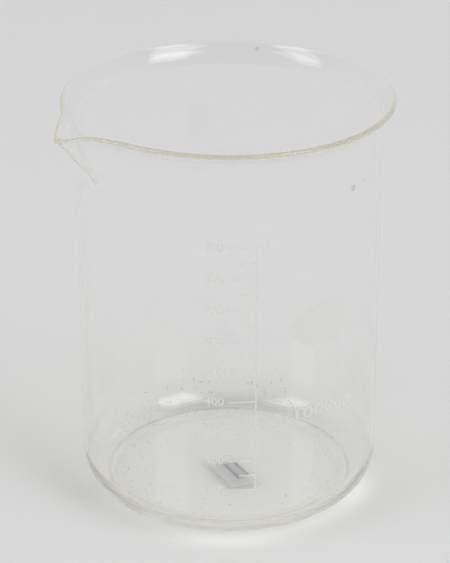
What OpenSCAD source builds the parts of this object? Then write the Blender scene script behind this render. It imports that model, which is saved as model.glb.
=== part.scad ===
// Low-form laboratory beaker, 1000 ml, in millimetres.
// The origin is the centre of the rest face, +Z is up and the spout points along -X.

/* [Body] */
// Outside diameter of the straight wall
od = 107.5; // [90:0.5:115]
// Height of the rim above the rest face, the mean all round
height = 150; // [120:0.5:170]
// Thickness of the wall
wall = 1.5; // [1.2:0.1:2.4]
// Thickness of the floor
floor_t = 2.4; // [1.8:0.1:3.6]
// Outside radius of the corner between floor and wall
corner_r = 13.8; // [6:0.1:18]
// How far the middle of the floor is pushed up, above and below alike
push_up = 0.6; // [0.2:0.1:1.2]
// Width of the flat ring that the vessel stands on
foot_w = 3; // [2:0.5:8]

/* [Rim] */
// How far the rim stands out past the wall
flare_out = 4.4; // [3:0.1:6]
// Radius of the curve that turns the wall outwards, at the middle of the glass
flare_r = 11; // [9:0.5:14]
// Thickness of the fire-polished bead along the rim
bead_d = 2.2; // [2:0.1:3]
// How far the hand-worked rim rises over its mean height at its highest point
rim_rise = 0.4; // [0:0.1:2]
// Direction of the rim's highest point, anticlockwise from +X
rim_high_at = 105; // [0:5:355]

/* [Spout] */
// How far the spout's tip is drawn out past the rim
spout_reach = 11; // [6:0.2:15]
// How far the tip dips under the rim
spout_dip = 2.4; // [0:0.2:5]
// Half width of the spout at the rim, where it has fallen to about a third of its reach
spout_half_w = 13; // [9:0.2:18]
// Half width of the dip at the tip
dip_half_w = 6; // [4:0.2:10]
// Height of the spout's keel, from where it leaves the wall up to the rim
spout_h = 25.5; // [18:0.5:32]
// How far the shoulders beside the spout are pinched in
pinch = 0.9; // [0:0.1:2]
// Distance of each pinched shoulder from the spout's middle
pinch_at = 14.8; // [11:0.1:18]

/* [Scale] */
// Height of the 100 ml mark over the rest face
first_mark = 22.6; // [16:0.1:30]
// Rise of one 100 ml step, the height that 100 ml of water fills in this bore
step_rise = 11.55; // [9:0.05:14]
// Direction of the scale's stem, anticlockwise from +X
scale_at = 247; // [215:1:275]
// Thickness of the fired enamel
enamel_t = 0.1; // [0.05:0.01:0.2]
// Width of every enamel line
line_w = 0.45; // [0.3:0.05:0.8]
// Length of the 100 ml marks
long_mark = 9.5; // [7:0.5:14]
// Length of the 50 ml marks
short_mark = 5.4; // [3:0.2:7]
// Length of the top mark's tail on the other side of the stem
top_tail = 4; // [2:0.5:8]

/* [Marking patch] */
// Width of the oval patch around the wall
patch_w = 25.5; // [16:0.5:34]
// Height of the oval patch
patch_h = 15; // [10:0.5:22]
// Height of its middle over the rest face
patch_z = 82; // [60:0.5:100]
// Direction of its middle, anticlockwise from +X
patch_at = 274.5; // [250:0.5:300]

/* [Label] */
// Length of the clear film
label_l = 22.5; // [15:0.5:30]
// Width of the clear film
label_w = 10.5; // [7:0.5:16]
// Thickness of the film
label_t = 0.15; // [0.1:0.05:0.3]
// Length of the dark printed block
print_l = 12; // [8:0.5:18]
// Width of the dark printed block
print_w = 5.5; // [3:0.5:8]
// Thickness of the printed block
print_t = 0.05; // [0.05:0.01:0.1]
// How far the block lies off the film's middle, across its length
print_off = 2; // [-2:0.25:2]
// Middle of the label on the floor, along X
label_x = -2; // [-15:0.5:15]
// Middle of the label on the floor, along Y
label_y = -5; // [-15:0.5:15]
// Direction of the label's length, anticlockwise from +X
label_at = 264; // [0:1:359]

/* [Hidden] */

wall_r = od / 2;
bore_r = wall_r - wall;
bead_r = bead_d / 2;
step_ml = 100;
top_ml = 900;

// The lip section of the glass, from the straight wall up to the bead.
flare_shift = flare_out - bead_r + wall / 2;
flare_turn = acos(1 - flare_shift / flare_r);
bead_z = height - bead_r;
flare_z = bead_z - flare_r * sin(flare_turn);
lip_margin = 4;
lip_z = height - spout_h - lip_margin;
// The lip starts a hair inside the wall, so that the two fuse into one piece.
seam = 0.04;
seam_depth = 0.5;

// Steps around the rim: fine across the spout, wider over the rest.
fine_step = 2;
wide_step = 4;
fine_half = 46;
around = concat([for (a = [-fine_half : fine_step : fine_half]) a],
                [for (a = [fine_half + wide_step : wide_step : 360 - fine_half - wide_step]) a]);
rise_steps = 8;
flare_steps = 5;
bead_steps = 6;

function mix(a, b, t) = a + (b - a) * t;
function clamp01(t) = max(0, min(1, t));

// A straight ramp with eased ends, 0 at the foot of the keel and 1 at the depth below the rim where the
// spout is full. The ease is the share of the ramp that each bend takes.
full_depth = 1.8;
ramp_ease = 0.38;
function ramp(z) =
    let (x = clamp01((z - height + spout_h) / (spout_h - full_depth)),
         bend = 2 * ramp_ease * (1 - ramp_ease))
    x < ramp_ease ? x * x / bend
    : x > 1 - ramp_ease ? 1 - pow(1 - x, 2) / bend
    : (x - ramp_ease / 2) / (1 - ramp_ease);

// A peak with soft flanks over the distance y from the spout's middle.
tip_soft = 0.4;
function peak(y, half, power) = exp(-pow((sqrt(y * y + tip_soft * tip_soft) - tip_soft) / half, power));
reach_power = 1.34;
dip_power = 2.5;
keel_share = 0.3;
shoulder_share = 0.72;

// Where a point of the plain lip, at radius r, height z and angle a from the spout, ends up.
function drawn(r, z, a) =
    let (t = ramp(z),
         side = clamp01(3 * cos(a)),
         y = r * sin(a),
         pull = side * t * spout_reach * peak(y, spout_half_w * mix(keel_share, 1, t), reach_power),
         dip = side * t * spout_dip * peak(y, dip_half_w, dip_power),
         nip = side * t * pinch * exp(-pow((abs(y) - pinch_at) / (shoulder_share * pinch_at), 2)),
         rise = t * rim_rise * r / (wall_r + flare_out) * cos(180 + a - rim_high_at),
         x = -(r - nip) * cos(a) - pull)
    [x, -(r - nip) * sin(a), z - dip + rise];

// The lip's closed section as [radius, height], up the outside, over the bead and down the inside.
// Its half thickness grows from half the wall to the bead's radius along the flare.
function flare_point(t, side) =
    let (turn = flare_turn * t,
         half = mix(wall / 2, bead_r, t * t))
    [wall_r - wall / 2 + flare_r * (1 - cos(turn)) + side * half * cos(turn),
     flare_z + flare_r * sin(turn) - side * half * sin(turn)];
section = concat(
    [[wall_r - seam, lip_z - seam_depth]],
    [for (i = [1 : rise_steps]) [wall_r - seam * (1 - i / rise_steps), mix(lip_z, flare_z, i / rise_steps)]],
    [for (i = [1 : flare_steps]) flare_point(i / flare_steps, 1)],
    [for (i = [1 : bead_steps]) let (u = 180 * i / (bead_steps + 1) - flare_turn)
        [wall_r - wall / 2 + flare_shift + bead_r * cos(u), bead_z + bead_r * sin(u)]],
    [for (i = [flare_steps : -1 : 1]) flare_point(i / flare_steps, -1)],
    [for (i = [rise_steps : -1 : 1]) [bore_r + seam * (1 - i / rise_steps), mix(lip_z, flare_z, i / rise_steps)]],
    [[bore_r + seam, lip_z - seam_depth]]);

// A closed band: the section carried around the axis, each ring joined to the next by triangles.
module lip() {
    rings = len(around);
    n = len(section);
    points = [for (a = around) for (p = section) drawn(p[0], p[1], a)];
    faces = [for (i = [0 : rings - 1]) for (j = [0 : n - 1])
        let (i2 = (i + 1) % rings, j2 = (j + 1) % n,
             p = i * n + j, q = i2 * n + j, r = i2 * n + j2, s = i * n + j2)
        each [[p, r, q], [p, s, r]]];
    polyhedron(points = points, faces = faces, convexity = 4);
}

// Half of the body's outline, with a round corner at the foot.
module half_outline(r, foot, corner, top) {
    translate([0, foot]) square([r - corner, top - foot]);
    translate([0, foot + corner]) square([r, top - foot - corner]);
    translate([r - corner, foot + corner]) circle(r = corner, $fn = 96);
}

// Half of the pushed-up middle of the floor, a shallow dome that starts level at its edge.
dome_r = wall_r - corner_r - foot_w;
dome_steps = 12;
module half_dome() {
    polygon(concat([[0, 0]], [for (i = [dome_steps : -1 : 0]) let (t = i / dome_steps)
        [dome_r * t, push_up * (1 + cos(180 * t)) / 2]]));
}

module body_glass() {
    over = 1;
    rotate_extrude($fn = 180)
        difference() {
            union() {
                difference() {
                    half_outline(wall_r, 0, corner_r, lip_z);
                    half_outline(bore_r, floor_t, corner_r - wall, lip_z + over);
                }
                translate([0, floor_t]) half_dome();
            }
            half_dome();
        }
}

module glass_vessel() {
    color([0.85, 0.9, 0.86, 0.35]) {
        body_glass();
        lip();
    }
}

// A piece of enamel on the wall: its height, and the angles at which it starts and ends.
function turn_of(len) = len / wall_r * 180 / PI;
module enamel_bar(z, h, from, to) {
    translate([0, 0, z - h / 2])
        rotate([0, 0, from])
            rotate_extrude(angle = to - from, $fn = 180)
                translate([wall_r, 0]) square([enamel_t, h]);
}

function mark_z(volume) = first_mark + (volume / step_ml - 1) * step_rise;
stem_half = turn_of(line_w) / 2;
enamel_white = [0.93, 0.93, 0.9];

module scale_stem() {
    low = mark_z(step_ml) - line_w / 2;
    high = mark_z(top_ml) + line_w / 2;
    color(enamel_white)
        enamel_bar((low + high) / 2, high - low, scale_at - stem_half, scale_at + stem_half);
}

module long_marks() {
    color(enamel_white) {
        for (v = [step_ml : step_ml : top_ml])
            enamel_bar(mark_z(v), line_w, scale_at - stem_half - turn_of(long_mark), scale_at - stem_half);
        enamel_bar(mark_z(top_ml), line_w, scale_at + stem_half, scale_at + stem_half + turn_of(top_tail));
    }
}

module short_marks() {
    color(enamel_white)
        for (v = [step_ml * 1.5 : step_ml : top_ml])
            enamel_bar(mark_z(v), line_w, scale_at - stem_half - turn_of(short_mark), scale_at - stem_half);
}

// The oval is a thin shell of the wall, cut out by an elliptic punch.
module marking_patch() {
    depth = 10;
    color([0.86, 0.87, 0.85])
        intersection() {
            enamel_bar(patch_z, patch_h, patch_at - turn_of(patch_w) / 2, patch_at + turn_of(patch_w) / 2);
            rotate([0, 0, patch_at])
                translate([wall_r - depth, 0, patch_z])
                    rotate([90, 0, 90])
                        linear_extrude(height = 2 * depth)
                            polygon([for (a = [0 : 6 : 354]) [patch_w / 2 * cos(a), patch_h / 2 * sin(a)]]);
        }
}

module on_label(lift) {
    translate([label_x, label_y, floor_t + push_up + lift])
        rotate([0, 0, label_at])
            children();
}

module asset_label() {
    corner = 1;
    color([0.8, 0.82, 0.84, 0.6])
        on_label(0)
            linear_extrude(height = label_t)
                union() {
                    square([label_l - 2 * corner, label_w], center = true);
                    square([label_l, label_w - 2 * corner], center = true);
                    for (x = [-1, 1], y = [-1, 1])
                        translate([x * (label_l / 2 - corner), y * (label_w / 2 - corner)])
                            circle(r = corner, $fn = 32);
                }
}

module label_print() {
    color([0.25, 0.3, 0.38])
        on_label(label_t)
            translate([-print_l / 2, print_off - print_w / 2])
                cube([print_l, print_w, print_t]);
}

glass_vessel();
scale_stem();
long_marks();
short_marks();
marking_patch();
asset_label();
label_print();
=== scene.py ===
# Low-form laboratory beaker, 1000 ml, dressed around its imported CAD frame.
# Metres, +Z up, the origin in the middle of the rest face, the spout along -X.
import math

import bpy
import numpy as np
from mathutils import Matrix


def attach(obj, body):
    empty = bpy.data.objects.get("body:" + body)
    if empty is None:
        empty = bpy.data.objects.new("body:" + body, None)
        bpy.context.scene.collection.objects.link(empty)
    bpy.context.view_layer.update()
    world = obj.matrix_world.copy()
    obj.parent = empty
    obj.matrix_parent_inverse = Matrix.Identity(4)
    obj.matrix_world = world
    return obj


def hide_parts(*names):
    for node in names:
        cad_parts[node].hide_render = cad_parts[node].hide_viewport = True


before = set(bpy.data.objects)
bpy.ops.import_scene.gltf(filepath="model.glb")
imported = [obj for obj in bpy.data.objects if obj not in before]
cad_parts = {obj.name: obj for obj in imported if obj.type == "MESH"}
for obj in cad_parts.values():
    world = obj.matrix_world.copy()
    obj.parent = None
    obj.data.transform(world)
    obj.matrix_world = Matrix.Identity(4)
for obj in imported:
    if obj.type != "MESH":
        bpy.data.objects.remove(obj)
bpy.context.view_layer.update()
mm = 0.001
print("frame loaded:", sorted(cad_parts))


# small helpers for colours, nodes and meshes

def linearColour(code):
    # an sRGB hex code as linear red, green, blue and 1
    channels = [int(code[i:i + 2], 16) / 255 for i in (0, 2, 4)]
    return [c / 12.92 if c <= 0.04045 else ((c + 0.055) / 1.055) ** 2.4 for c in channels] + [1]


def addNode(tree, kind, inputs=(), **settings):
    # one shader node, its settings, and its inputs as plain values or as sockets to link
    made = tree.nodes.new("ShaderNode" + kind)
    for name, value in settings.items():
        setattr(made, name, value)
    for name, value in dict(inputs).items():
        if isinstance(value, bpy.types.NodeSocket):
            tree.links.new(value, made.inputs[name])
        else:
            made.inputs[name].default_value = value
    return made


def emptyTree(owner):
    owner.use_nodes = True
    owner.node_tree.nodes.clear()
    return owner.node_tree


def newMaterial(name, code):
    # code is the colour that Blender's plain views show the piece in
    material = bpy.data.materials.new(name)
    material.diffuse_color = linearColour(code)
    return material, emptyTree(material)


def direction(degrees):
    # a level direction, anticlockwise from +X
    return math.cos(math.radians(degrees)), math.sin(math.radians(degrees)), 0


def addMesh(name, points, faces, material, smooth=True):
    mesh = bpy.data.meshes.new(name)
    mesh.from_pydata(np.asarray(points).tolist(), [], [list(f) for f in faces])
    mesh.polygons.foreach_set("use_smooth", np.full(len(mesh.polygons), smooth))
    mesh.update()
    piece = bpy.data.objects.new(name, mesh)
    bpy.context.scene.collection.objects.link(piece)
    mesh.materials.append(material)
    return piece


def gridQuads(rows, columns):
    # quads of a grid whose columns close on themselves, as rows of four point numbers
    i, j = np.meshgrid(np.arange(rows - 1), np.arange(columns), indexing="ij")
    k = (j + 1) % columns
    return np.stack([i * columns + j, i * columns + k, (i + 1) * columns + k, (i + 1) * columns + j],
                    -1).reshape(-1, 4)


# camera at the photograph's place

view = {
    "around": 237.1,     # where the camera stands, degrees anticlockwise from +X
    "away": 0.7512,      # distance along the floor from the vessel's axis
    "height": 0.4257,
    "down": 24.83,       # degrees below level
    "sideways": 0.109,   # degrees to the left
    "lens": 146.87, "sensor": 36, "nearest": 0.01,
}


def addCamera():
    camera = bpy.data.cameras.new("camera")
    camera.lens = view["lens"]
    camera.sensor_width = view["sensor"]
    camera.clip_start = view["nearest"]
    stand = bpy.data.objects.new("camera", camera)
    around = math.radians(view["around"])
    stand.location = (view["away"] * math.cos(around), view["away"] * math.sin(around), view["height"])
    stand.rotation_euler = (math.radians(90 - view["down"]), 0,
                            around + math.pi / 2 + math.radians(view["sideways"]))
    bpy.context.scene.collection.objects.link(stand)
    bpy.context.scene.camera = stand


addCamera()
print("camera placed")


# the glass: one blown vessel, its lip drawn out into a spout

glass = {
    "wallR": 53.75, "height": 150, "wall": 1.5, "floor": 2.4, "cornerR": 13.8,
    "pushUp": 0.6, "footWidth": 3,
    "flareOut": 4.4, "flareR": 11, "beadR": 1.1, "rimRise": 0.4, "rimHighAt": 105,
    "reach": 11, "dip": 2.4, "halfWidth": 13, "dipHalfWidth": 6, "keelHeight": 25.5,
    "pinch": 0.9, "pinchAt": 14.8, "fullDepth": 1.8, "ease": 0.38, "tipSoft": 0.4,
    "reachPower": 1.34, "dipPower": 2.5, "keelShare": 0.3, "shoulderShare": 0.72,
    "columns": 400, "crowding": 0.5,       # crowding: how much closer the columns stand at the spout
    "cornerRows": 49, "wallRows": 14, "keelRows": 18, "flareRows": 17, "beadRows": 25, "floorRows": 9,
    "middle": 0.6,                         # radius of the fans that close the floor's two sides
    "wave": 0.03,                          # blown glass is never quite even: the inside wavers this much
    "waveFrom": 16, "waveTo": 132, "waveFade": 10,
}


def glassSection():
    # The closed section from the middle of the underside out, up the wall, over the bead and down inside.
    # Each point is given by a point of the middle line, radius and height, and by how far it lies from
    # that along the line's outer normal and along its direction. The flare's middle line is an arc whose
    # half thickness grows with the square of the way along it; the middle of the floor is a raised cosine.
    g = glass
    half = g["wall"] / 2
    foot = g["wallR"] - g["cornerR"]
    domeR = foot - g["footWidth"]
    shift = g["flareOut"] - g["beadR"] + half
    turn = math.acos(1 - shift / g["flareR"])
    beadZ = g["height"] - g["beadR"]
    flareZ = beadZ - g["flareR"] * math.sin(turn)

    def rows(r, z, across=0, along=0):
        return np.stack(np.broadcast_arrays(r, z, across, along), -1).astype(float)

    def dome(r, z):
        return rows(r, z + g["pushUp"] * (1 + np.cos(np.pi * r / domeR)) / 2)

    def corner(radius, z, angles):
        return rows(foot + radius * np.cos(angles), z + radius + radius * np.sin(angles))

    def flare(t, side):
        return rows(g["wallR"] - half + g["flareR"] * (1 - np.cos(turn * t)),
                    flareZ + g["flareR"] * np.sin(turn * t), side * (half + (g["beadR"] - half) * t * t))

    floorR = np.linspace(g["middle"], domeR, g["floorRows"])
    quarter = np.radians(np.linspace(-90, 0, g["cornerRows"]))
    out = np.linspace(0, 1, g["flareRows"])[1:]
    bead = np.radians(np.linspace(0, 180, g["beadRows"]))[1:-1]
    keelZ = g["height"] - g["keelHeight"]
    wallZ = np.concatenate([np.linspace(g["cornerR"], keelZ, g["wallRows"])[1:],
                            np.linspace(keelZ, flareZ, g["keelRows"])[1:]])
    backZ = np.concatenate([wallZ[::-1], [g["floor"] + g["cornerR"] - g["wall"]]])
    return np.concatenate([
        dome(floorR, 0),
        corner(g["cornerR"], 0, quarter),
        rows(g["wallR"] - half, wallZ, half),
        flare(out, 1),
        rows(g["wallR"] - half + shift, beadZ, g["beadR"] * np.cos(bead), g["beadR"] * np.sin(bead)),
        flare(out[::-1], -1),
        rows(g["wallR"] - half, backZ, -half),
        corner(g["cornerR"] - g["wall"], g["floor"], quarter[::-1][1:]),
        dome(floorR[::-1], g["floor"]),
    ])


def drawLip(r, z, a):
    # Carries points of the plain lip to the drawn one. a is the angle from the spout. Near the spout a
    # point moves out and dips by a soft peak over its sideways distance y, and the shoulders are pinched
    # in; all of it fades down the keel with a straight ramp whose two ends are eased. The whole rim is
    # also a little out of level.
    g = glass
    x = np.clip((z - g["height"] + g["keelHeight"]) / (g["keelHeight"] - g["fullDepth"]), 0, 1)
    e, bend = g["ease"], 2 * g["ease"] * (1 - g["ease"])
    t = np.where(x < e, x * x / bend, np.where(x > 1 - e, 1 - (1 - x) ** 2 / bend, (x - e / 2) / (1 - e)))
    side = np.clip(3 * np.cos(a), 0, 1) * t
    y = r * np.sin(a)
    soft = np.sqrt(y * y + g["tipSoft"] ** 2) - g["tipSoft"]
    width = g["halfWidth"] * (g["keelShare"] + (1 - g["keelShare"]) * t)
    pull = side * g["reach"] * np.exp(-(soft / width) ** g["reachPower"])
    dip = side * g["dip"] * np.exp(-(soft / g["dipHalfWidth"]) ** g["dipPower"])
    nip = side * g["pinch"] * np.exp(-((np.abs(y) - g["pinchAt"])
                                       / (g["shoulderShare"] * g["pinchAt"])) ** 2)
    tilt = np.cos(np.pi + a - math.radians(g["rimHighAt"]))
    rise = t * g["rimRise"] * r / (g["wallR"] + g["flareOut"]) * tilt
    return np.stack([-(r - nip) * np.cos(a) - pull, -(r - nip) * np.sin(a), z - dip + rise], -1)


def glassPoints():
    # Draws the middle line's surface out, then lays each point off it along the drawn surface's own
    # normal and direction, so that the glass keeps its thickness over the spout's steep flanks. The
    # direction comes from a middle line stepped a hair along the section, the sideways one from a hair of
    # turn, and the normal is the cross product of the two. The inside wavers by three sines of the angle
    # and the height, faded out at both ends of the wall.
    g = glass
    section = glassSection()
    v = np.arange(g["columns"]) / g["columns"] * 2 * np.pi
    a = v - g["crowding"] * np.sin(v)
    r, angle = np.meshgrid(section[:, 0], a, indexing="ij")
    z, across, along = [np.repeat(section[:, k][:, None], g["columns"], 1) for k in (1, 2, 3)]
    inside = np.arange(len(section))[:, None] > len(section) // 2
    waver = (np.sin(3 * angle + z / 23) + np.sin(5 * angle - z / 14 + 1)
             + np.sin(2 * angle + z / 9 + 4)) / 3
    onWall = (np.clip((z - g["waveFrom"]) / g["waveFade"], 0, 1)
              * np.clip((g["waveTo"] - z) / g["waveFade"], 0, 1))
    across = across + inside * onWall * g["wave"] * waver
    lean = np.arccos(np.clip(1 - (r - g["wallR"] + g["wall"] / 2) / g["flareR"], -1, 1))
    lean = lean * (z > g["cornerR"])
    hair = 1e-3
    up = (drawLip(r + hair * np.sin(lean), z + hair * np.cos(lean), angle)
          - drawLip(r - hair * np.sin(lean), z - hair * np.cos(lean), angle))
    turned = drawLip(r, z, angle + hair) - drawLip(r, z, angle - hair)
    normal = np.cross(up, turned)
    up, normal = [w / np.linalg.norm(w, axis=-1, keepdims=True) for w in (up, normal)]
    normal *= np.sign((normal * drawLip(r, z * 0, angle)).sum(-1, keepdims=True))
    return drawLip(r, z, angle) + normal * across[..., None] + up * along[..., None]


def addGlass(material):
    # the grid's quads, closed by a fan of triangles in the middle of each side of the floor
    grid = glassPoints() * mm
    rows, columns = grid.shape[:2]
    low, high = grid[0, :, 2].mean(), grid[-1, :, 2].mean()
    points = np.concatenate([grid.reshape(-1, 3), [[0, 0, low], [0, 0, high]]])
    bottom, top = rows * columns, rows * columns + 1
    j = np.arange(columns)
    k = (j + 1) % columns
    last = (rows - 1) * columns
    faces = gridQuads(rows, columns).tolist()
    faces += np.stack([k, j, np.full(columns, bottom)], -1).tolist()
    faces += np.stack([last + j, last + k, np.full(columns, top)], -1).tolist()
    return addMesh("glassVessel", points, faces, material)


residue = {
    # what washing and use left on the glass, in millimetres
    "patch": 12, "patchLow": 0.38, "patchHigh": 0.62, "patchLeast": 0.25,    # noise, makes it uneven
    "ringR": 44.45, "ringZ": 3.2,           # the scale line round the inside, where water dried
    "ringCore": 0.3, "ringEdge": 0.85, "ringStrength": 0.21,
    "hazeIn": 1, "hazeEdge": 7.0, "hazeStrength": 0.04,        # a stain whose middle lies further in
    "speckCell": 1.4, "speckCore": 0.13, "speckEdge": 0.24,    # one speck for each cell that is cut
    "speckStrength": 0.55, "speckFaintest": 0.45,
    "speckNear": 2, "speckReach": 21,       # how far from the line they lie, thick and thin
    "speckSide": 150, "speckLeast": 0.5, "speckMost": 1.3,     # more of them on that side, in degrees
    "colour": "6a5f48",
    "betweenUp": 0.4, "betweenFade": 0.05,  # the surface between the corner's inside and outside
    # The outside of the foot is rubbed dull by benches, from this radius out, most up to the first
    # height and none from the second. It is full on the side that wornSide points to, and falls to
    # wornLeast of that at wornBack behind the axis.
    "wornFrom": 42.5, "wornFull": 3, "wornTop": 18.0, "wornStrength": 0.5,
    "wornSide": 237, "wornBack": -45, "wornLeast": 0.2, "wornColour": "eeece8",
    # single flaws: degrees from +X, height, radius from the axis, core, edge, strength
    "flaws": ((288.6, 128.5, 53.75, 0.8, 1.5, 0.22), (295.6, 129.2, 53.75, 0.15, 0.4, 0.6),
              (46.5, 147.0, 56.5, 0.5, 1.1, 0.2)),
}


def residueMask(tree):
    # How much of each spot is covered by scale, and how much is rubbed dull, 0 to 1. The line and its
    # stain are bells over the distance to one point of the section, radius against height. Specks are the
    # cores of Voronoi cells that the inside of the base cuts, kept by chance: fewer of them away from the
    # line, on one side and where the noise is low. The flaws are small balls.
    n = residue
    place = addNode(tree, "TexCoord").outputs["Object"]
    split = addNode(tree, "SeparateXYZ", {0: place})
    flat = addNode(tree, "CombineXYZ", {0: split.outputs["X"], 1: split.outputs["Y"]})
    far = addNode(tree, "VectorMath", {0: flat.outputs[0]}, operation="LENGTH").outputs["Value"]
    profile = addNode(tree, "CombineXYZ", {0: far, 1: split.outputs["Z"]}).outputs[0]

    def bell(vector, point, core, edge, strength):
        # strength within core of the point, and nothing from edge on
        gap = addNode(tree, "VectorMath", {0: vector, 1: [v * mm for v in point]}, operation="DISTANCE")
        return addNode(tree, "MapRange", {
            "Value": gap.outputs["Value"], "From Min": core * mm, "From Max": edge * mm,
            "To Min": strength, "To Max": 0}, interpolation_type="SMOOTHSTEP").outputs[0]

    patchy = addNode(tree, "TexNoise", {"Vector": place, "Scale": 1 / (n["patch"] * mm), "Detail": 4.0,
                                        "Roughness": 0.65})
    uneven = addNode(tree, "MapRange", {
        "Value": patchy.outputs["Fac"], "From Min": n["patchLow"], "From Max": n["patchHigh"],
        "To Min": n["patchLeast"], "To Max": 1.0}).outputs[0]
    line = bell(profile, (n["ringR"], n["ringZ"], 0), n["ringCore"], n["ringEdge"], n["ringStrength"])
    stain = bell(profile, (n["ringR"] - n["hazeIn"], n["ringZ"], 0), 0, n["hazeEdge"], n["hazeStrength"])
    dried = addNode(tree, "Math", {0: line, 1: stain}, operation="MAXIMUM").outputs[0]
    cover = addNode(tree, "Math", {0: dried, 1: uneven}, operation="MULTIPLY").outputs[0]

    # the inside and the outside of the base lie at different distances from the middle of its corner
    corner = glass["wallR"] - glass["cornerR"]
    middleZ = glass["cornerR"] + n["betweenUp"]
    depth = glass["cornerR"] - glass["wall"] / 2
    out = addNode(tree, "Math", {0: far, 1: corner * mm}, operation="MAXIMUM").outputs[0]
    down = addNode(tree, "Math", {0: split.outputs["Z"], 1: middleZ * mm}, operation="MINIMUM").outputs[0]
    bent = addNode(tree, "CombineXYZ", {0: out, 1: down}).outputs[0]
    inside = bell(bent, (corner, middleZ, 0), depth - n["betweenFade"], depth + n["betweenFade"], 1)

    low = bell(profile, (n["ringR"], n["ringZ"], 0), n["speckNear"], n["speckReach"], 1)
    side = addNode(tree, "VectorMath", {0: place, 1: direction(n["speckSide"])}, operation="DOT_PRODUCT")
    more = addNode(tree, "MapRange", {
        "Value": side.outputs["Value"], "From Min": -glass["wallR"] * mm, "From Max": glass["wallR"] * mm,
        "To Min": n["speckLeast"], "To Max": n["speckMost"]}).outputs[0]
    cells = addNode(tree, "TexVoronoi", {"Vector": place, "Scale": 1 / (n["speckCell"] * mm)})
    specks = addNode(tree, "MapRange", {
        "Value": cells.outputs["Distance"], "From Min": n["speckCore"], "From Max": n["speckEdge"],
        "To Min": n["speckStrength"], "To Max": 0}).outputs[0]
    chance = addNode(tree, "SeparateColor", {0: cells.outputs["Color"]})
    faint = addNode(tree, "MapRange", {"Value": chance.outputs["Green"],
                                       "To Min": n["speckFaintest"]}).outputs[0]
    odds = more
    for factor in (uneven, low):
        odds = addNode(tree, "Math", {0: odds, 1: factor}, operation="MULTIPLY").outputs[0]
    kept = addNode(tree, "Math", {0: odds, 1: chance.outputs["Red"]}, operation="GREATER_THAN").outputs[0]
    for factor in (inside, kept, faint):
        specks = addNode(tree, "Math", {0: specks, 1: factor}, operation="MULTIPLY").outputs[0]
    layers = [specks]
    for around, z, r, core, edge, strength in n["flaws"]:
        x, y = direction(around)[:2]
        layers.append(bell(place, (r * x, r * y, z), core, edge, strength))
    for layer in layers:
        cover = addNode(tree, "Math", {0: cover, 1: layer}, operation="MAXIMUM").outputs[0]

    front = addNode(tree, "VectorMath", {0: place, 1: direction(n["wornSide"])}, operation="DOT_PRODUCT")
    worn = addNode(tree, "Math", {0: 1.0, 1: inside}, operation="SUBTRACT").outputs[0]
    for value, start, end, first, last in (
            (front.outputs["Value"], n["wornBack"], 0, n["wornLeast"], 1),
            (split.outputs["Z"], n["wornFull"], n["wornTop"], n["wornStrength"], 0),
            (far, n["wornFrom"] - 1, n["wornFrom"] + 1, 0, 1)):
        fade = addNode(tree, "MapRange", {"Value": value, "From Min": start * mm, "From Max": end * mm,
                                          "To Min": first, "To Max": last})
        worn = addNode(tree, "Math", {0: worn, 1: fade.outputs[0]}, operation="MULTIPLY").outputs[0]
    return cover, worn


clearGlass = {
    "ior": 1.473,
    "cast": "f5f2e0", "castDensity": 3.0,          # density per metre
    # what a lamp's light keeps, face on and edge on, and how far edge on it starts to dim
    "shadow": "fefefd", "shadowEdge": "8c8c89", "edgeFrom": 0.7,
    "glowAfter": 8, "glowShare": 0.25,             # bounces, and the share of the light left then
    "glowLow": "c8c5bd", "glowHigh": "ccc9b7", "glowFrom": 40, "glowTo": 130,    # heights in millimetres
}


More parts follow.
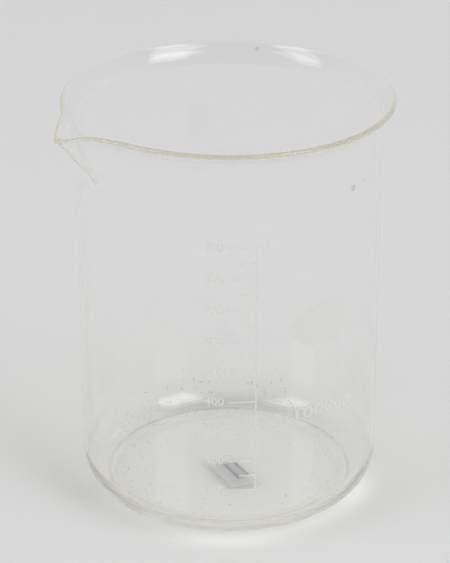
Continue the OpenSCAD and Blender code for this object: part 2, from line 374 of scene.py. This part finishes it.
def borosilicateGlass():
    # Borosilicate glass, blown and fire-polished: clear, with a yellowish cast where light runs along it,
    # as in the bead, with dried scale on the inside of its base and a foot rubbed dull. Light for matt
    # surfaces goes straight through it, a little dimmed. Light that is caught inside bounces on and on;
    # after some bounces a faint even glow stands for the part of it that is left.
    n = clearGlass
    material, tree = newMaterial("borosilicateGlass", "e2e6dc")
    cover, worn = residueMask(tree)
    matt = addNode(tree, "Math", {0: cover, 1: worn}, operation="MAXIMUM")
    scale = addNode(tree, "Math", {0: cover, 1: matt.outputs[0]}, operation="DIVIDE")
    skin = addNode(tree, "Mix", {0: scale.outputs[0], 6: linearColour(residue["wornColour"]),
                                 7: linearColour(residue["colour"])}, data_type="RGBA")
    clear = addNode(tree, "BsdfPrincipled", {
        "Base Color": (1, 1, 1, 1), "Roughness": 0.0, "IOR": n["ior"], "Transmission Weight": 1.0})
    dusty = addNode(tree, "BsdfDiffuse", {"Color": skin.outputs[2]})
    body = addNode(tree, "MixShader", {0: matt.outputs[0], 1: clear.outputs[0], 2: dusty.outputs[0]})
    edge = addNode(tree, "LayerWeight", {"Blend": 0.5})
    grazing = addNode(tree, "MapRange", {"Value": edge.outputs["Facing"], "From Min": n["edgeFrom"]})
    shade = addNode(tree, "Mix", {0: grazing.outputs[0], 6: linearColour(n["shadow"]),
                                  7: linearColour(n["shadowEdge"])}, data_type="RGBA")
    lamp = addNode(tree, "BsdfTransparent", {"Color": shade.outputs[2]})
    path = addNode(tree, "LightPath")
    plain = addNode(tree, "Math", {0: path.outputs["Is Shadow Ray"], 1: path.outputs["Is Diffuse Ray"]},
                    operation="MAXIMUM")
    both = addNode(tree, "MixShader", {0: plain.outputs[0], 1: body.outputs[0], 2: lamp.outputs[0]})
    depth = addNode(tree, "VolumeAbsorption", {"Color": linearColour(n["cast"]),
                                               "Density": n["castDensity"]})
    caught = addNode(tree, "MapRange", {
        "Value": path.outputs["Ray Depth"], "From Min": n["glowAfter"], "From Max": n["glowAfter"] + 1,
        "To Min": 0, "To Max": n["glowShare"]})
    split = addNode(tree, "SeparateXYZ", {0: addNode(tree, "TexCoord").outputs["Object"]})
    high = addNode(tree, "MapRange", {"Value": split.outputs["Z"], "From Min": n["glowFrom"] * mm,
                                      "From Max": n["glowTo"] * mm})
    tint = addNode(tree, "Mix", {0: high.outputs[0], 6: linearColour(n["glowLow"]),
                                 7: linearColour(n["glowHigh"])}, data_type="RGBA")
    glow = addNode(tree, "Emission", {"Color": tint.outputs[2], "Strength": 1.0})
    ended = addNode(tree, "MixShader", {0: caught.outputs[0], 1: both.outputs[0], 2: glow.outputs[0]})
    addNode(tree, "OutputMaterial", {"Surface": ended.outputs[0], "Volume": depth.outputs[0]})
    return material


vessel = addGlass(borosilicateGlass())
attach(vessel, "root")
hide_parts("glass_vessel")
print("glass vessel:", len(vessel.data.polygons), "faces")


# the fired print: marks, numerals and the writing patch

enamel = {
    "line": "eaeae7",      # white ceramic ink: as pale as the floor, so it shows only over darker places
    "patch": "e9e9e6",
    "grain": 0.5, "depth": 0.02,    # the pinholes, in millimetres
    "wornTone": 0.92,      # share of its tone that a worn spot keeps
    "relief": 0.2, "numeralRelief": 0.05,
    "roughness": 0.45, "ior": 1.5,
}


def firedEnamel(name, code, relief):
    # Screen-printed ceramic ink fired on at 600 degrees: chalky, satin, with pinholes and worn spots.
    # The pinholes are about 0.2 mm wide and are drawn at 0.5 mm, so that they show.
    e = enamel
    material, tree = newMaterial(name, code)
    place = addNode(tree, "TexCoord")
    worn = addNode(tree, "TexNoise", {"Vector": place.outputs["Object"], "Scale": 1 / (e["grain"] * mm),
                                      "Detail": 3.0, "Roughness": 0.6})
    dark = [c * e["wornTone"] for c in linearColour(code)[:3]] + [1]
    colour = addNode(tree, "Mix", {0: worn.outputs["Fac"], 6: dark, 7: linearColour(code)},
                     data_type="RGBA")
    bump = addNode(tree, "Bump", {"Height": worn.outputs["Fac"], "Strength": relief,
                                  "Distance": e["depth"] * mm})
    body = addNode(tree, "BsdfPrincipled", {
        "Base Color": colour.outputs[2], "Roughness": e["roughness"], "IOR": e["ior"],
        "Normal": bump.outputs[0]})
    addNode(tree, "OutputMaterial", {"Surface": body.outputs[0]})
    return material


def dressNode(name, material):
    # a CAD node keeps its mesh and gets this material
    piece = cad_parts[name]
    piece.data.materials.clear()
    piece.data.materials.append(material)


lineEnamel = firedEnamel("whiteFiredEnamel", enamel["line"], enamel["relief"])
for name in ("scale_stem", "long_marks", "short_marks"):
    dressNode(name, lineEnamel)
dressNode("marking_patch", firedEnamel("greyFiredEnamel", enamel["patch"], enamel["relief"]))

numerals = {
    "rightEdge": 235.3,    # degrees anticlockwise from +X: where the numerals end, left of the marks
    "firstZ": 22.6, "step": 11.55,
    "digitHeight": 3.0, "width": 6.7, "lift": -1.15,    # lift: from a mark up to its numeral's foot
    "capacity": "1000ml", "capacityAt": 275.7, "capacityZ": 47.6,
    "capacityHeight": 4.2, "capacityWidth": 24.6,
    "thick": 0.05, "sink": 0.004,        # the ink's thickness, and how far its back lies inside the wall
    "bolder": 0.012, "curveSteps": 6,    # a bolder stroke, in the font's units, as a screen prints it
}


def flatWords(words):
    # the outline of some plain words as a thin closed mesh: points and faces, in the font's own units
    curve = bpy.data.curves.new("words", "FONT")
    curve.body = words
    curve.extrude = 0.5
    curve.offset = numerals["bolder"]
    curve.resolution_u = numerals["curveSteps"]
    holder = bpy.data.objects.new("words", curve)
    bpy.context.scene.collection.objects.link(holder)
    bpy.context.view_layer.update()
    mesh = bpy.data.meshes.new_from_object(holder)
    points = np.empty(len(mesh.vertices) * 3)
    mesh.vertices.foreach_get("co", points)
    faces = [tuple(p.vertices) for p in mesh.polygons]
    bpy.data.objects.remove(holder)
    bpy.data.curves.remove(curve)
    bpy.data.meshes.remove(mesh)
    return points.reshape(-1, 3), faces


def wrapWords(words, height, width, at, z, anchor):
    # Bends flat words round the wall: along the words becomes an arc, up stays up, and the thickness
    # runs out along the radius. anchor is 1 to end at the angle at, and 0.5 to be centred there.
    points, faces = flatWords(words)
    low, high = points.min(0), points.max(0)
    share = (points - low) / (high - low)
    arc = (share[:, 0] - anchor) * width
    angle = math.radians(at) + arc / glass["wallR"]
    radius = (glass["wallR"] - numerals["sink"] + share[:, 2] * numerals["thick"]) * mm
    up = (z + share[:, 1] * height) * mm
    return np.stack([radius * np.cos(angle), radius * np.sin(angle), up], -1), faces


def joinParts(parts):
    # several meshes as one, with the faces' point numbers moved on
    points, faces, start = [], [], 0
    for partPoints, partFaces in parts:
        points.append(partPoints)
        faces += [tuple(start + k for k in face) for face in partFaces]
        start += len(partPoints)
    return np.concatenate(points), faces


numeralEnamel = firedEnamel("thinFiredEnamel", enamel["line"], enamel["numeralRelief"])
n = numerals
labels = [wrapWords(str(100 * k), n["digitHeight"], n["width"], n["rightEdge"],
                    n["firstZ"] + (k - 1) * n["step"] + n["lift"], 1) for k in range(1, 10)]
scaleNumerals = addMesh("scaleNumerals", *joinParts(labels), numeralEnamel, smooth=False)
capacity = addMesh("capacityNumerals", *wrapWords(n["capacity"], n["capacityHeight"], n["capacityWidth"],
                                                  n["capacityAt"], n["capacityZ"], 0.5),
                   numeralEnamel, smooth=False)
for piece in (scaleNumerals, capacity):
    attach(piece, "root")
print("print fired on")


# the small label lying on the floor of the vessel

film = {
    "dark": "dddedd", "light": "eaebe9", "cover": 0.38,
    "ripple": 3, "depth": 0.1, "relief": 0.3,    # the ripples' width and depth in millimetres
    "roughness": 0.3, "ior": 1.57,
}


def labelFilm():
    # Polyester label film, faintly grey and glossy, with fine ripples from being pressed on wet glass.
    f = film
    material, tree = newMaterial("labelPolyesterFilm", "c9cac8")
    place = addNode(tree, "TexCoord")
    ripple = addNode(tree, "TexNoise", {"Vector": place.outputs["Object"],
                                        "Scale": 1 / (f["ripple"] * mm), "Detail": 2.0})
    colour = addNode(tree, "Mix", {0: ripple.outputs["Fac"], 6: linearColour(f["dark"]),
                                   7: linearColour(f["light"])}, data_type="RGBA")
    bump = addNode(tree, "Bump", {"Height": ripple.outputs["Fac"], "Strength": f["relief"],
                                  "Distance": f["depth"] * mm})
    body = addNode(tree, "BsdfPrincipled", {
        "Base Color": colour.outputs[2], "Roughness": f["roughness"], "IOR": f["ior"],
        "Alpha": f["cover"], "Normal": bump.outputs[0]})
    addNode(tree, "OutputMaterial", {"Surface": body.outputs[0]})
    return material


prints = {
    "x": 0.0, "y": -5.2, "along": 264,     # the block's middle in millimetres, and its direction
    "rows": (-1.9, 2.1), "rowHalf": 0.65, "rowFade": 0.15,
    "mark": 1.1, "markLow": 0.38, "markHigh": 0.52, "markFaint": 0.15,    # noise that breaks the rows up
    "bare": "dcdce6", "ink": "a0a5af", "bareCover": 0.12, "inkCover": 0.5,
}


def thermalPrint():
    # Resin thermal print: two dark rows of small marks along the label, with a paler band between them.
    # The place is turned so that its Y runs across the rows, from the block's middle.
    p = prints
    material, tree = newMaterial("thermalPrint", "7f8790")
    place = addNode(tree, "TexCoord")
    flat = addNode(tree, "Mapping", {"Vector": place.outputs["Object"],
                                     "Location": (-p["x"] * mm, -p["y"] * mm, 0)}, vector_type="POINT")
    turned = addNode(tree, "Mapping", {
        "Vector": flat.outputs[0], "Rotation": (0, 0, -math.radians(p["along"]))}, vector_type="POINT")
    split = addNode(tree, "SeparateXYZ", {0: turned.outputs[0]})
    rows = []
    for middle in p["rows"]:
        off = addNode(tree, "Math", {0: split.outputs["Y"], 1: middle * mm}, operation="SUBTRACT")
        away = addNode(tree, "Math", {0: off.outputs[0]}, operation="ABSOLUTE")
        rows.append(addNode(tree, "MapRange", {
            "Value": away.outputs[0], "From Min": (p["rowHalf"] - p["rowFade"]) * mm,
            "From Max": (p["rowHalf"] + p["rowFade"]) * mm, "To Min": 1, "To Max": 0}).outputs[0])
    both = addNode(tree, "Math", {0: rows[0], 1: rows[1]}, operation="MAXIMUM")
    marks = addNode(tree, "TexNoise", {"Vector": turned.outputs[0], "Scale": 1 / (p["mark"] * mm),
                                       "Detail": 1.0})
    broken = addNode(tree, "MapRange", {
        "Value": marks.outputs["Fac"], "From Min": p["markLow"], "From Max": p["markHigh"],
        "To Min": p["markFaint"], "To Max": 1})
    ink = addNode(tree, "Math", {0: both.outputs[0], 1: broken.outputs[0]}, operation="MULTIPLY")
    colour = addNode(tree, "Mix", {0: ink.outputs[0], 6: linearColour(p["bare"]),
                                   7: linearColour(p["ink"])}, data_type="RGBA")
    cover = addNode(tree, "MapRange", {"Value": ink.outputs[0], "To Min": p["bareCover"],
                                       "To Max": p["inkCover"]})
    body = addNode(tree, "BsdfPrincipled", {"Base Color": colour.outputs[2], "Roughness": 0.5,
                                            "Alpha": cover.outputs[0]})
    addNode(tree, "OutputMaterial", {"Surface": body.outputs[0]})
    return material


dressNode("asset_label", labelFilm())
dressNode("label_print", thermalPrint())
print("label laid")


# floor, light and surroundings

studio = {
    "floor": "dfdfdf",
    "ambient": 0.62,       # light from all round, for matt surfaces
    "level": 0.64,         # the pale sweep behind the vessel, as glass and the camera see it
    "room": 0.30,          # the darker room on the camera's side, seen only in glass
    "roomUp": 45,          # degrees above level of the room's middle
    "roomEdge": 0.2, "roomFull": 0.7,    # cosines of the angle from that middle where it ends and is full
    "bounces": 48,         # light runs a long way inside the bead and the base
    "aimHeight": 0.07,     # what the softboxes face, on the vessel's axis
    # name, degrees to the right of the camera, degrees up, distance, width and height in metres, watts,
    # and the share of its width over which the cloth fades out at each edge
    "softboxes": (("softboxRight", 52, 45, 5.2, 3.1, 4.2, 130, 0.20),
                  ("softboxLeft", -66, 45, 5.2, 1.9, 4.2, 57, 0.07)),
}

floorDisc = {
    "below": 0.1,          # millimetres under the rest face, so that the two don't share a plane
    "columns": 240,
    "closeFrom": 36, "closeTo": 120, "closeRings": 113,    # the rings lie close together round the foot
    "wideFrom": 122, "wideTo": 4000, "wideRings": 60,
}

paintedFloorLightAndShade = {
    # painted light and shadow on the floor, as shares of the floor's own tone: arcs round the foot
    # (middle and half width in degrees, radius in mm, strength, inner and outer width in mm), painted
    # light where the glass bends light onto the floor, the first wide and faint on the camera's side, and
    # the last, behind the foot, a painted shadow; and painted shadow streaks past the foot where the wall
    # is edge-on to a lamp (direction in degrees, distance of the line from the axis in mm, strength, reach
    # in mm)
    "arcs": ((245, 75, 55.0, 0.055, 40, 70), (238, 30, 48.5, 0.27, 4, 6), (283, 22, 47.0, 0.12, 5, 6),
             # the last arc, with a negative strength, is a painted shadow behind the foot
             (310, 17, 48.5, 0.26, 4, 6), (57, 40, 53.5, -0.20, 5, 6)),
    "streaks": ((90, 54.0, -0.12, 90), (12, 52, -0.035, 140)),
    # a streak's half widths at the foot, how much it widens with the way along it and up to where, and
    # where it starts and how soon it is full
    "streakInner": 3.5, "streakOuter": 5.0, "spread": 0.22, "spreadTo": 400,
    "streakFrom": -10, "streakRise": 24,
}


def floorTone(x, y):
    # The floor's tone with its painted light and shadow: one plus the arcs and streaks, in millimetres. An
    # arc is a bell over the angle times a bell over the radius that is wider outside. A streak is a bell
    # over the distance q from its line, wider outside and further along, times a fade over the way s along
    # the line.
    c = paintedFloorLightAndShade
    r, around = np.hypot(x, y), np.degrees(np.arctan2(y, x)) % 360
    tone = np.ones_like(r)
    for middle, half, radius, strength, inner, outer in c["arcs"]:
        wide = np.where(r < radius, inner, outer)
        tone += strength * np.exp(-((around - middle) / half) ** 2 - ((r - radius) / wide) ** 2)
    for k, (degrees, far, strength, reach) in enumerate(c["streaks"]):
        turnX, turnY = direction(degrees)[:2]
        s = x * turnX + y * turnY
        q = (x * turnY - y * turnX) * (-1) ** (k + 1) - far
        wide = (np.where(q < 0, c["streakInner"], c["streakOuter"])
                + c["spread"] * np.clip(s, 0, c["spreadTo"]))
        start = np.clip((s - c["streakFrom"]) / c["streakRise"], 0, 1) ** 2
        tone += strength * start * np.exp(-np.maximum(s, 0) / reach - (q / wide) ** 2)
    return tone


def addFloor():
    # A disc of rings round one flat middle. Each point carries its tone, with the painted light and
    # shadow, as an attribute.
    d = floorDisc
    rings = np.concatenate([np.linspace(d["closeFrom"], d["closeTo"], d["closeRings"]),
                            np.geomspace(d["wideFrom"], d["wideTo"], d["wideRings"])])
    turn = np.linspace(0, 2 * np.pi, d["columns"], endpoint=False)
    r, a = np.meshgrid(rings, turn, indexing="ij")
    points = np.stack([r * np.cos(a), r * np.sin(a), np.full_like(r, -d["below"])], -1).reshape(-1, 3)
    faces = [tuple(range(d["columns"]))] + gridQuads(len(rings), d["columns"]).tolist()
    material, tree = newMaterial("paleFloor", studio["floor"])
    floor = addMesh("floor", points * mm, faces, material, smooth=False)
    tone = floor.data.attributes.new("tone", "FLOAT", "POINT")
    tone.data.foreach_set("value", floorTone(points[:, 0], points[:, 1]))
    share = addNode(tree, "Attribute", attribute_name="tone")
    colour = addNode(tree, "VectorMath", {0: linearColour(studio["floor"])[:3], 1: share.outputs["Fac"]},
                     operation="MULTIPLY")
    body = addNode(tree, "BsdfDiffuse", {"Color": colour.outputs[0]})
    addNode(tree, "OutputMaterial", {"Surface": body.outputs[0]})
    return floor


def addSoftbox(name, right, up, away, width, height, power, fade):
    # a rectangular area lamp that faces the middle of the vessel
    lamp = bpy.data.lights.new(name, "AREA")
    lamp.shape = "RECTANGLE"
    lamp.size, lamp.size_y = width, height
    lamp.energy = power
    tree = emptyTree(lamp)
    place = addNode(tree, "NewGeometry")
    split = addNode(tree, "SeparateXYZ", {0: place.outputs["Parametric"]})
    inside = []
    for axis in ("X", "Y"):
        off = addNode(tree, "Math", {0: split.outputs[axis], 1: 0.5}, operation="SUBTRACT")
        share = addNode(tree, "Math", {0: off.outputs[0]}, operation="ABSOLUTE")
        inside.append(addNode(tree, "MapRange", {
            "Value": share.outputs[0], "From Min": 0.5 - fade, "From Max": 0.5, "To Min": 1,
            "To Max": 0}, interpolation_type="SMOOTHSTEP").outputs[0])
    cloth = addNode(tree, "Math", {0: inside[0], 1: inside[1]}, operation="MULTIPLY")
    glow = addNode(tree, "Emission", {"Strength": cloth.outputs[0]})
    addNode(tree, "OutputLight", {"Surface": glow.outputs[0]})
    holder = bpy.data.objects.new(name, lamp)
    a, e = math.radians(view["around"] + right), math.radians(up)
    holder.location = (away * math.cos(e) * math.cos(a), away * math.cos(e) * math.sin(a),
                       away * math.sin(e) + studio["aimHeight"])
    holder.rotation_euler = (math.pi / 2 - e, 0, a + math.pi / 2)
    bpy.context.scene.collection.objects.link(holder)


def addSurroundings():
    # Matt surfaces get an even level. The camera, gloss and glass see a pale sweep and a darker room.
    world = bpy.data.worlds.new("studio")
    bpy.context.scene.world = world
    tree = emptyTree(world)
    place = addNode(tree, "TexCoord")
    a, e = math.radians(view["around"]), math.radians(studio["roomUp"])
    towards = addNode(tree, "VectorMath", {
        0: place.outputs["Generated"],
        1: (math.cos(e) * math.cos(a), math.cos(e) * math.sin(a), math.sin(e))}, operation="DOT_PRODUCT")
    level = addNode(tree, "MapRange", {
        "Value": towards.outputs["Value"], "From Min": studio["roomEdge"], "From Max": studio["roomFull"],
        "To Min": studio["level"], "To Max": studio["room"]})
    path = addNode(tree, "LightPath")
    sharp = addNode(tree, "Math", {0: path.outputs["Is Camera Ray"], 1: path.outputs["Is Glossy Ray"]},
                    operation="MAXIMUM")
    seen = addNode(tree, "Math", {0: sharp.outputs[0], 1: path.outputs["Is Transmission Ray"]},
                   operation="MAXIMUM")
    even = addNode(tree, "Background", {"Color": (1, 1, 1, 1), "Strength": studio["ambient"]})
    backdrop = addNode(tree, "Background", {"Color": (1, 1, 1, 1), "Strength": level.outputs[0]})
    both = addNode(tree, "MixShader", {0: seen.outputs[0], 1: even.outputs[0], 2: backdrop.outputs[0]})
    addNode(tree, "OutputWorld", {"Surface": both.outputs[0]})


addFloor()
for softbox in studio["softboxes"]:
    addSoftbox(*softbox)
addSurroundings()
bpy.context.scene.view_settings.view_transform = "Standard"
for kind in ("max", "glossy", "transmission"):
    setattr(bpy.context.scene.cycles, kind + "_bounces", studio["bounces"])
print("studio lit")

print("done")
